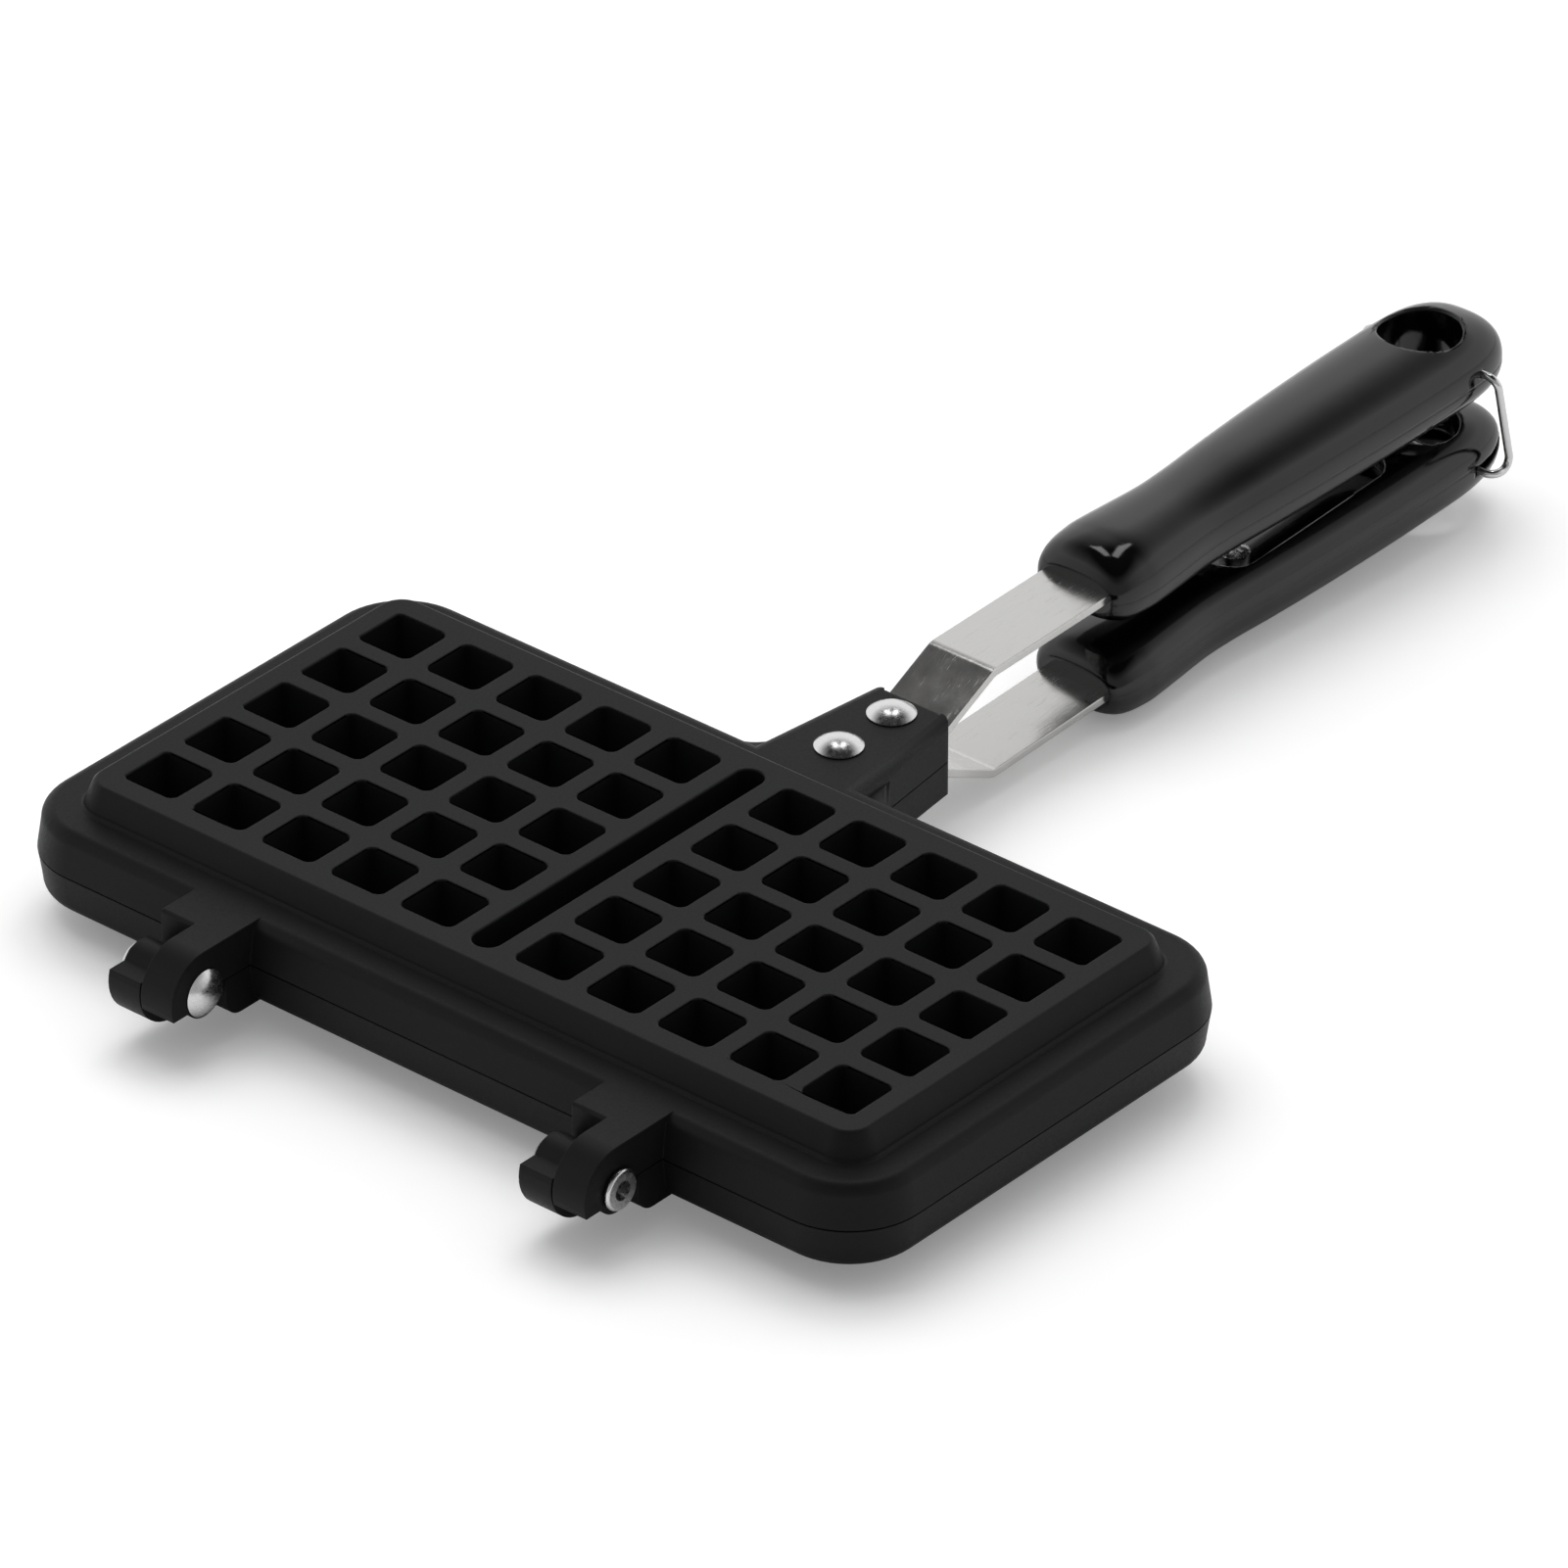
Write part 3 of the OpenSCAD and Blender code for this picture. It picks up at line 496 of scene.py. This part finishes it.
def strap_material(metal):
    """Stainless strip with a drawn mill finish.

    It has long fine lines, cloudy reflections and a few handling scratches.
    """
    material, tree, output = new_material("stainless_strip_mill_finish")
    place = add_node(tree, "ShaderNodeTexCoord").outputs["Object"]
    # Mill lines a fifth of a millimetre apart, drawn out along the strap
    along = add_node(tree, "ShaderNodeMapping", Vector=place, Scale=(60, 5000, 5000))
    lines = add_node(
        tree, "ShaderNodeTexNoise", Vector=along.outputs[0], Scale=1.0, Detail=3.0)
    # Scratches about a third of a millimetre wide, askew to the strap
    askew = add_node(
        tree, "ShaderNodeMapping", Vector=place, Rotation=(0, 0, 0.9), Scale=(120, 2600, 400))
    marks = add_node(
        tree, "ShaderNodeTexNoise", Vector=askew.outputs[0], Scale=1.0, Detail=4.0,
        Roughness=0.6)
    mark = add_node(
        tree, "ShaderNodeMapRange", Value=marks.outputs["Fac"],
        From_Min=0.60, From_Max=0.72, To_Min=0.0, To_Max=1.0)
    cloud = add_node(
        tree, "ShaderNodeTexNoise", Vector=place, Scale=1 / (6.0 * MM), Detail=3.0)
    base = linear(metal.strap_hex)
    tone = add_node(
        tree, "ShaderNodeMix", {"data_type": "RGBA"}, Factor=cloud.outputs["Fac"],
        i6=shade(base, 0.82), i7=base)
    rough = add_node(
        tree, "ShaderNodeMapRange", Value=cloud.outputs["Fac"],
        From_Min=0.3, From_Max=0.7, To_Min=0.14, To_Max=0.26)
    rougher = add_node(
        tree, "ShaderNodeMath", {"operation": "MULTIPLY_ADD"},
        i0=mark.outputs[0], i1=0.16, i2=rough.outputs[0])
    height = add_node(
        tree, "ShaderNodeMath", {"operation": "MULTIPLY_ADD"},
        i0=mark.outputs[0], i1=-0.5, i2=lines.outputs["Fac"])
    soft = add_node(tree, "ShaderNodeBevel", {"samples": 4}, Radius=0.3 * MM)
    bump = add_node(
        tree, "ShaderNodeBump", Height=height.outputs[0], Strength=0.25, Distance=0.05 * MM,
        Normal=soft.outputs[0])
    shader = add_node(
        tree, "ShaderNodeBsdfPrincipled", Base_Color=tone.outputs[2], Metallic=1.0,
        Roughness=rougher.outputs[0], Normal=bump.outputs[0])
    tree.links.new(shader.outputs[0], output.inputs["Surface"])
    return material


def bright_material(name, hex_colour, low, high, grain_mm):
    """Bare bright metal, headed or drawn: clean, with a faint cloudiness in its polish."""
    material, tree, output = new_material(name)
    place = add_node(tree, "ShaderNodeTexCoord").outputs["Object"]
    cloud = add_node(
        tree, "ShaderNodeTexNoise", Vector=place, Scale=1 / (grain_mm * MM), Detail=3.0)
    rough = add_node(
        tree, "ShaderNodeMapRange", Value=cloud.outputs["Fac"],
        From_Min=0.3, From_Max=0.7, To_Min=low, To_Max=high)
    bump = add_node(
        tree, "ShaderNodeBump", Height=cloud.outputs["Fac"], Strength=0.12, Distance=0.04 * MM)
    shader = add_node(
        tree, "ShaderNodeBsdfPrincipled", Base_Color=linear(hex_colour), Metallic=1.0,
        Roughness=rough.outputs[0], Normal=bump.outputs[0])
    tree.links.new(shader.outputs[0], output.inputs["Surface"])
    return material


# Operators, one for each group of like pieces

class PAN_OT_castings(bpy.types.Operator):
    """Dresses the two cast plates, with the coat's soft edges"""
    bl_idname = "pan.castings"
    bl_label = "Cast plates"

    def execute(self, context):
        edge_radius = context.scene.pan_coat.edge_radius
        coat = coat_material(context.scene.pan_coat)
        for half, body, inward in HALVES:
            node = half + "_plate"
            piece = cleaned_copy(node, half + "_casting")
            # The outer face is the plane that the other half turns away from
            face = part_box(node)[0 if inward > 0 else 1].z
            rounded(piece, edge_radius, lambda co: abs(co.z - face) < SAME, CAST_SEGMENTS)
            for vert in piece.data.vertices:
                if vert.co.x > BOSS_CORNER:
                    vert.co.x += BOSS_MORE
            rounded(
                piece, BOSS_ROUND,
                lambda co: abs(co.z - face - inward * STEP) < SAME and co.x > FLANGE_END,
                CAST_SEGMENTS)
            finish_piece(piece, body, coat, node)
        return {"FINISHED"}


class PAN_OT_straps(bpy.types.Operator):
    """Dresses the two cranked steel straps"""
    bl_idname = "pan.straps"
    bl_label = "Straps"

    def execute(self, context):
        steel = strap_material(context.scene.pan_metal)
        for half, body, _ in HALVES:
            node = half + "_strap"
            piece = cleaned_copy(node, node + "_strip")
            rounded(piece, STRAP_EDGE)
            finish_piece(piece, body, steel, node)
        return {"FINISHED"}


class PAN_OT_grips(bpy.types.Operator):
    """Dresses the two moulded grips"""
    bl_idname = "pan.grips"
    bl_label = "Grips"

    def execute(self, context):
        phenolic = phenolic_material(context.scene.pan_grip)
        for half, body, _ in HALVES:
            node = half + "_grip"
            piece = grip_body(node + "_moulding")
            lean = Matrix.Rotation(math.radians(-LEAN[half]), 4, "Y")
            knee = Matrix.Translation((KNEE[0] * MM, 0, KNEE[1] * MM))
            over = Matrix.Translation((0, 0, PAIR_HEIGHT * MM)) @ Matrix.Diagonal((1, 1, -1, 1))
            place = (over if half == "upper" else Matrix()) @ knee @ lean @ knee.inverted()
            top = GRIP_MIDDLE + INNER
            cut(piece, oblong(HOLE_X, HOLE_SIZE, CUT_BELOW, CUT_ABOVE))
            cut(piece, oblong(POCKET_X, POCKET_SIZE, top - POCKET_DEPTH, top + POCKET_ABOVE))
            if half == "upper":
                for side in (1, -1):
                    cut(piece, self.foot_drill(side))
            else:
                sweep = self.bail_sweep()
                sweep.data.transform(place.inverted())
                cut(piece, sweep)
            rounded(
                piece, context.scene.pan_grip.rim_radius, self.at_hole_rim, RIM_SEGMENTS,
                RIM_ANGLE)
            rounded(piece, POCKET_RIM * MM, self.at_pocket_rim, RIM_SEGMENTS, RIM_ANGLE)
            set_down(piece, place)
            smoothed(piece, GRIP_SMOOTH)
            finish_piece(piece, body, phenolic, node)
        return {"FINISHED"}

    def at_hole_rim(self, co):
        """Whether a point lies on the hang hole's rim, on the outer or the inner face."""
        from_wall = abs(math.hypot(co.x - HOLE_X * MM, co.y) - HOLE_SIZE[0] / 2 * MM)
        return from_wall < 0.5 * MM and abs(co.z - GRIP_MIDDLE * MM) > 5 * MM

    def at_pocket_rim(self, co):
        """Whether a point lies on the pocket's rim, above its floor."""
        above = co.z > (GRIP_MIDDLE + INNER - POCKET_DEPTH + 0.5) * MM
        along = abs(co.x - POCKET_X * MM) < (POCKET_SIZE[0] / 2 + 1) * MM
        return above and along and abs(co.y) < (POCKET_SIZE[1] / 2 + 0.6) * MM

    def foot_drill(self, side):
        """The blind hole that one foot of the bail turns in."""
        bpy.ops.object.select_all(action="DESELECT")
        bpy.ops.mesh.primitive_cylinder_add(
            vertices=32, radius=FOOT_HOLE * MM, depth=DRILL_LENGTH * MM, location=(0, 0, 0))
        drill = bpy.context.object
        middle = (
            PIVOT_X * MM, side * (FOOT_INMOST + DRILL_LENGTH / 2) * MM,
            (GRIP_MIDDLE - FOOT_DROP) * MM)
        drill.data.transform(
            Matrix.Translation(middle) @ Matrix.Rotation(math.radians(90), 4, "X"))
        return drill

    def bail_sweep(self):
        """The curved slot that the bail's cross bar swings along, through the grip's end."""
        low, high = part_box("wire_bail")
        wire, room = WIRE_RADIUS * MM, SWEEP_ROOM * MM
        bpy.ops.object.select_all(action="DESELECT")
        bpy.ops.mesh.primitive_plane_add(size=2 * room, location=(0, 0, 0))
        sweep = bpy.context.object
        wide = (Matrix.Diagonal((1, SWEEP_WIDTH, 1, 1))
                @ Matrix.Rotation(math.radians(90), 4, "Y"))
        sweep.data.transform(
            Matrix.Translation((low.x + wire - room, 0, low.z + wire)) @ wide)
        bpy.ops.object.mode_set(mode="EDIT")
        bpy.ops.mesh.select_all(action="SELECT")
        bpy.ops.mesh.spin(
            steps=SWEEP_STEPS, angle=math.radians(SWEEP_ANGLE),
            center=(PIVOT_X * MM, 0, high.z - wire), axis=(0, 1, 0))
        # The spin leaves the end that it started from open
        bpy.ops.mesh.select_all(action="SELECT")
        bpy.ops.mesh.fill_holes(sides=4)
        bpy.ops.mesh.select_all(action="SELECT")
        bpy.ops.mesh.normals_make_consistent(inside=False)
        bpy.ops.object.mode_set(mode="OBJECT")
        return sweep


class PAN_OT_rivets(bpy.types.Operator):
    """Turns the four strap rivets with their domed heads"""
    bl_idname = "pan.rivets"
    bl_label = "Strap rivets"

    def execute(self, context):
        alloy = bright_material(
            "headed_aluminium_bright", context.scene.pan_metal.rivet_hex, 0.16, 0.30, 0.8)
        for half, body, inward in HALVES:
            for place in ("front", "rear"):
                node = f"{half}_{place}_rivet"
                low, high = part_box(node)
                profile = self.outline(high.z - low.z, HEAD_SHARE * (high.x - low.x) / 2)
                piece = turned(node + "_headed", profile)
                # The head faces out: down on the lower half
                down = Matrix.Diagonal((1, 1, -1, 1)) if inward > 0 else Matrix()
                base = high.z if inward > 0 else low.z
                set_down(piece, Matrix.Translation(((low.x + high.x) / 2, 0, base)) @ down)
                finish_piece(piece, body, alloy, node)
        return {"FINISHED"}

    def outline(self, length, head):
        """The rivet's outline from its tail to its domed head, as radius and height."""
        rise = HEAD_RISE * MM
        seat = length - rise - HEAD_RIM * MM
        dome = head ** 2 / (2 * rise) + rise / 2
        reach = math.asin(head / dome)
        cap = [(dome * math.sin(a), length - dome + dome * math.cos(a))
               for a in (reach * (1 - i / DOME_RINGS) for i in range(DOME_RINGS))]
        tail = [
            (0, 0), ((TAIL - TAIL_ROUND) * MM, 0), (TAIL * MM, TAIL_ROUND * MM),
            (TAIL * MM, TAIL_THICK * MM), (SHANK * MM, TAIL_THICK * MM), (SHANK * MM, seat)]
        rim = [(head - HEAD_ROUND * MM, seat), (head, seat + HEAD_UNDER * MM)]
        return tail + rim + cap + [(0, length)]


class PAN_OT_fasteners(bpy.types.Operator):
    """Dresses the hinge pins and grip screws"""
    bl_idname = "pan.fasteners"
    bl_label = "Pins and screws"

    def execute(self, context):
        metal = context.scene.pan_metal
        alloy = bright_material("rolled_aluminium_bright", metal.rivet_hex, 0.18, 0.32, 0.8)
        zinc = bright_material("zinc_plated_steel", metal.wire_hex, 0.22, 0.36, 0.6)
        for side in ("left", "right"):
            node = side + "_hinge_pin"
            piece = cleaned_copy(node, node + "_bright")
            smoothed(piece, SMOOTH_ANGLE)
            finish_piece(piece, "base", alloy, node)
        for half, body, _ in HALVES:
            node = half + "_grip_screw"
            piece = cleaned_copy(node, node + "_plated")
            smoothed(piece, SMOOTH_ANGLE)
            finish_piece(piece, body, zinc, node)
        return {"FINISHED"}


class PAN_OT_bail(bpy.types.Operator):
    """Dresses the wire bail that latches the grips"""
    bl_idname = "pan.bail"
    bl_label = "Wire bail"

    def execute(self, context):
        wire = bright_material(
            "drawn_steel_wire_bright", context.scene.pan_metal.wire_hex, 0.12, 0.22, 0.7)
        piece = cleaned_copy("wire_bail", "bail_wire")
        only(piece)
        bpy.ops.object.shade_smooth_by_angle(angle=math.radians(WIRE_SMOOTH))
        finish_piece(piece, "bail", wire, "wire_bail")
        return {"FINISHED"}


class PAN_OT_stage(bpy.types.Operator):
    """Makes the pale floor, the soft studio light and the camera"""
    bl_idname = "pan.stage"
    bl_label = "Studio"

    def execute(self, context):
        settings = context.scene.pan_stage
        self.floor(settings)
        self.surroundings(settings)
        for name, place, target, width, height, power in LAMPS:
            self.softbox(name, place, target, width, height, getattr(settings, power))
        self.camera()
        context.scene.view_settings.view_transform = "Standard"
        return {"FINISHED"}

    def floor(self, settings):
        """The sheet of paper that the pan stands on."""
        # The closed pan rests on its hinge-side panel edge and its lower grip, so the floor
        # runs through both
        plate, grip = (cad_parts[node].data for node in ("lower_plate", "lower_grip"))
        edge = min(v.co.x for v in plate.vertices if v.co.z < 1e-6)
        fall = min(v.co.z / (v.co.x - edge) for v in grip.vertices)
        bpy.ops.object.select_all(action="DESELECT")
        bpy.ops.mesh.primitive_plane_add(size=FLOOR_SIZE, location=(0, 0, 0))
        floor = bpy.context.object
        floor.name = "studio_floor"
        floor.data.transform(
            Matrix.Translation((edge, 0, -FLOOR_GAP))
            @ Matrix.Rotation(-math.atan(fall), 4, "Y"))
        material, tree, output = new_material("matte_studio_paper")
        path = add_node(tree, "ShaderNodeLightPath")
        paper = add_node(tree, "ShaderNodeBsdfDiffuse", Color=linear(settings.floor_hex))
        # Seen by the camera the clear paper is just white, and a shadow still shows on it
        lift = add_node(
            tree, "ShaderNodeMath", {"operation": "MULTIPLY"},
            i0=path.outputs["Is Camera Ray"], i1=FLOOR_LIFT)
        glow = add_node(tree, "ShaderNodeEmission", Strength=lift.outputs[0])
        sheet = add_node(tree, "ShaderNodeAddShader", i0=paper.outputs[0], i1=glow.outputs[0])
        tree.links.new(sheet.outputs[0], output.inputs["Surface"])
        floor.data.materials.append(material)

    def surroundings(self, settings):
        """The world: white to the camera, a soft fill as light, and a dark ceiling in gloss."""
        world = bpy.data.worlds.new("white_surroundings")
        world.use_nodes = True
        tree = world.node_tree
        tree.nodes.clear()
        path = add_node(tree, "ShaderNodeLightPath")
        direction = add_node(tree, "ShaderNodeTexCoord").outputs["Generated"]
        # Metal and gloss see the white background low down, and the unlit ceiling high up
        rise = add_node(tree, "ShaderNodeSeparateXYZ", Vector=direction)
        mirrored = add_node(
            tree, "ShaderNodeMapRange", Value=rise.outputs["Z"], From_Min=CEILING_FROM,
            From_Max=WHITE_UNDER, To_Min=settings.ceiling_level, To_Max=1.0)
        # As light, the surroundings are dimmer on the camera's side
        away = add_node(
            tree, "ShaderNodeVectorMath", {"operation": "DOT_PRODUCT"}, i0=direction, i1=AWAY)
        fill = add_node(
            tree, "ShaderNodeMapRange", Value=away.outputs["Value"], From_Min=-0.7,
            From_Max=0.5, To_Min=0.35 * settings.fill_level, To_Max=1.25 * settings.fill_level)
        side = add_node(
            tree, "ShaderNodeMapRange", Value=away.outputs["Value"],
            From_Min=-0.7, From_Max=0.1, To_Min=0.4, To_Max=1.0)
        gloss = add_node(
            tree, "ShaderNodeMath", {"operation": "MULTIPLY"},
            i0=mirrored.outputs[0], i1=side.outputs[0])
        lit = add_node(
            tree, "ShaderNodeMix", {"data_type": "FLOAT"}, i0=path.outputs["Is Glossy Ray"],
            i2=fill.outputs[0], i3=gloss.outputs[0])
        level = add_node(
            tree, "ShaderNodeMix", {"data_type": "FLOAT"}, i0=path.outputs["Is Camera Ray"],
            i2=lit.outputs[0], i3=1.0)
        glow = add_node(
            tree, "ShaderNodeBackground", Color=(1, 1, 1, 1), Strength=level.outputs[0])
        add_node(tree, "ShaderNodeOutputWorld", Surface=glow.outputs[0])
        bpy.context.scene.world = world

    def softbox(self, name, place, target, width, height, power):
        """One rectangular lamp that faces its target. The overhead one shows in no gloss."""
        data = bpy.data.lights.new(name, "AREA")
        data.shape = "RECTANGLE"
        data.size = width
        data.size_y = height
        data.energy = power
        lamp = bpy.data.objects.new(name, data)
        lamp.location = place
        lamp.rotation_euler = (
            Vector(place) - Vector(target)).to_track_quat("Z", "Y").to_euler()
        lamp.visible_glossy = name != "overhead_softbox"
        bpy.context.scene.collection.objects.link(lamp)

    def camera(self):
        """The camera at the photo's viewing angle."""
        data = bpy.data.cameras.new("studio_camera")
        data.sensor_width = CAMERA_SENSOR
        data.lens = CAMERA_LENS
        data.clip_start = CLIP_START
        data.clip_end = CLIP_END
        camera = bpy.data.objects.new("studio_camera", data)
        camera.location = CAMERA_PLACE
        camera.rotation_euler = [math.radians(a) for a in CAMERA_TURN]
        bpy.context.scene.collection.objects.link(camera)
        bpy.context.scene.camera = camera


STEPS = (
    PAN_OT_castings, PAN_OT_straps, PAN_OT_grips, PAN_OT_rivets, PAN_OT_fasteners,
    PAN_OT_bail, PAN_OT_stage)
GROUPS = (
    ("pan_coat", CoatSettings), ("pan_grip", GripSettings), ("pan_metal", MetalSettings),
    ("pan_stage", StageSettings))


class PAN_PT_sidebar(bpy.types.Panel):
    """Lists the settings and the steps that dress the pan"""
    bl_idname = "PAN_PT_sidebar"
    bl_label = "Waffle Pan"
    bl_space_type = "VIEW_3D"
    bl_region_type = "UI"
    bl_category = "Waffle Pan"

    def draw(self, context):
        for attribute, group in GROUPS:
            column = self.layout.column(align=True)
            for key in group.__annotations__:
                column.prop(getattr(context.scene, attribute), key)
        for step in STEPS:
            self.layout.operator(step.bl_idname)


def register():
    for cls in [group for _, group in GROUPS] + list(STEPS) + [PAN_PT_sidebar]:
        bpy.utils.register_class(cls)
    for attribute, group in GROUPS:
        setattr(bpy.types.Scene, attribute, bpy.props.PointerProperty(type=group))


def unregister():
    for attribute, _ in GROUPS:
        delattr(bpy.types.Scene, attribute)
    for cls in [PAN_PT_sidebar] + list(STEPS)[::-1] + [group for _, group in GROUPS][::-1]:
        bpy.utils.unregister_class(cls)


def main():
    register()
    for step in STEPS:
        category, name = step.bl_idname.split(".")
        getattr(getattr(bpy.ops, category), name)()


if __name__ == "__main__":
    main()
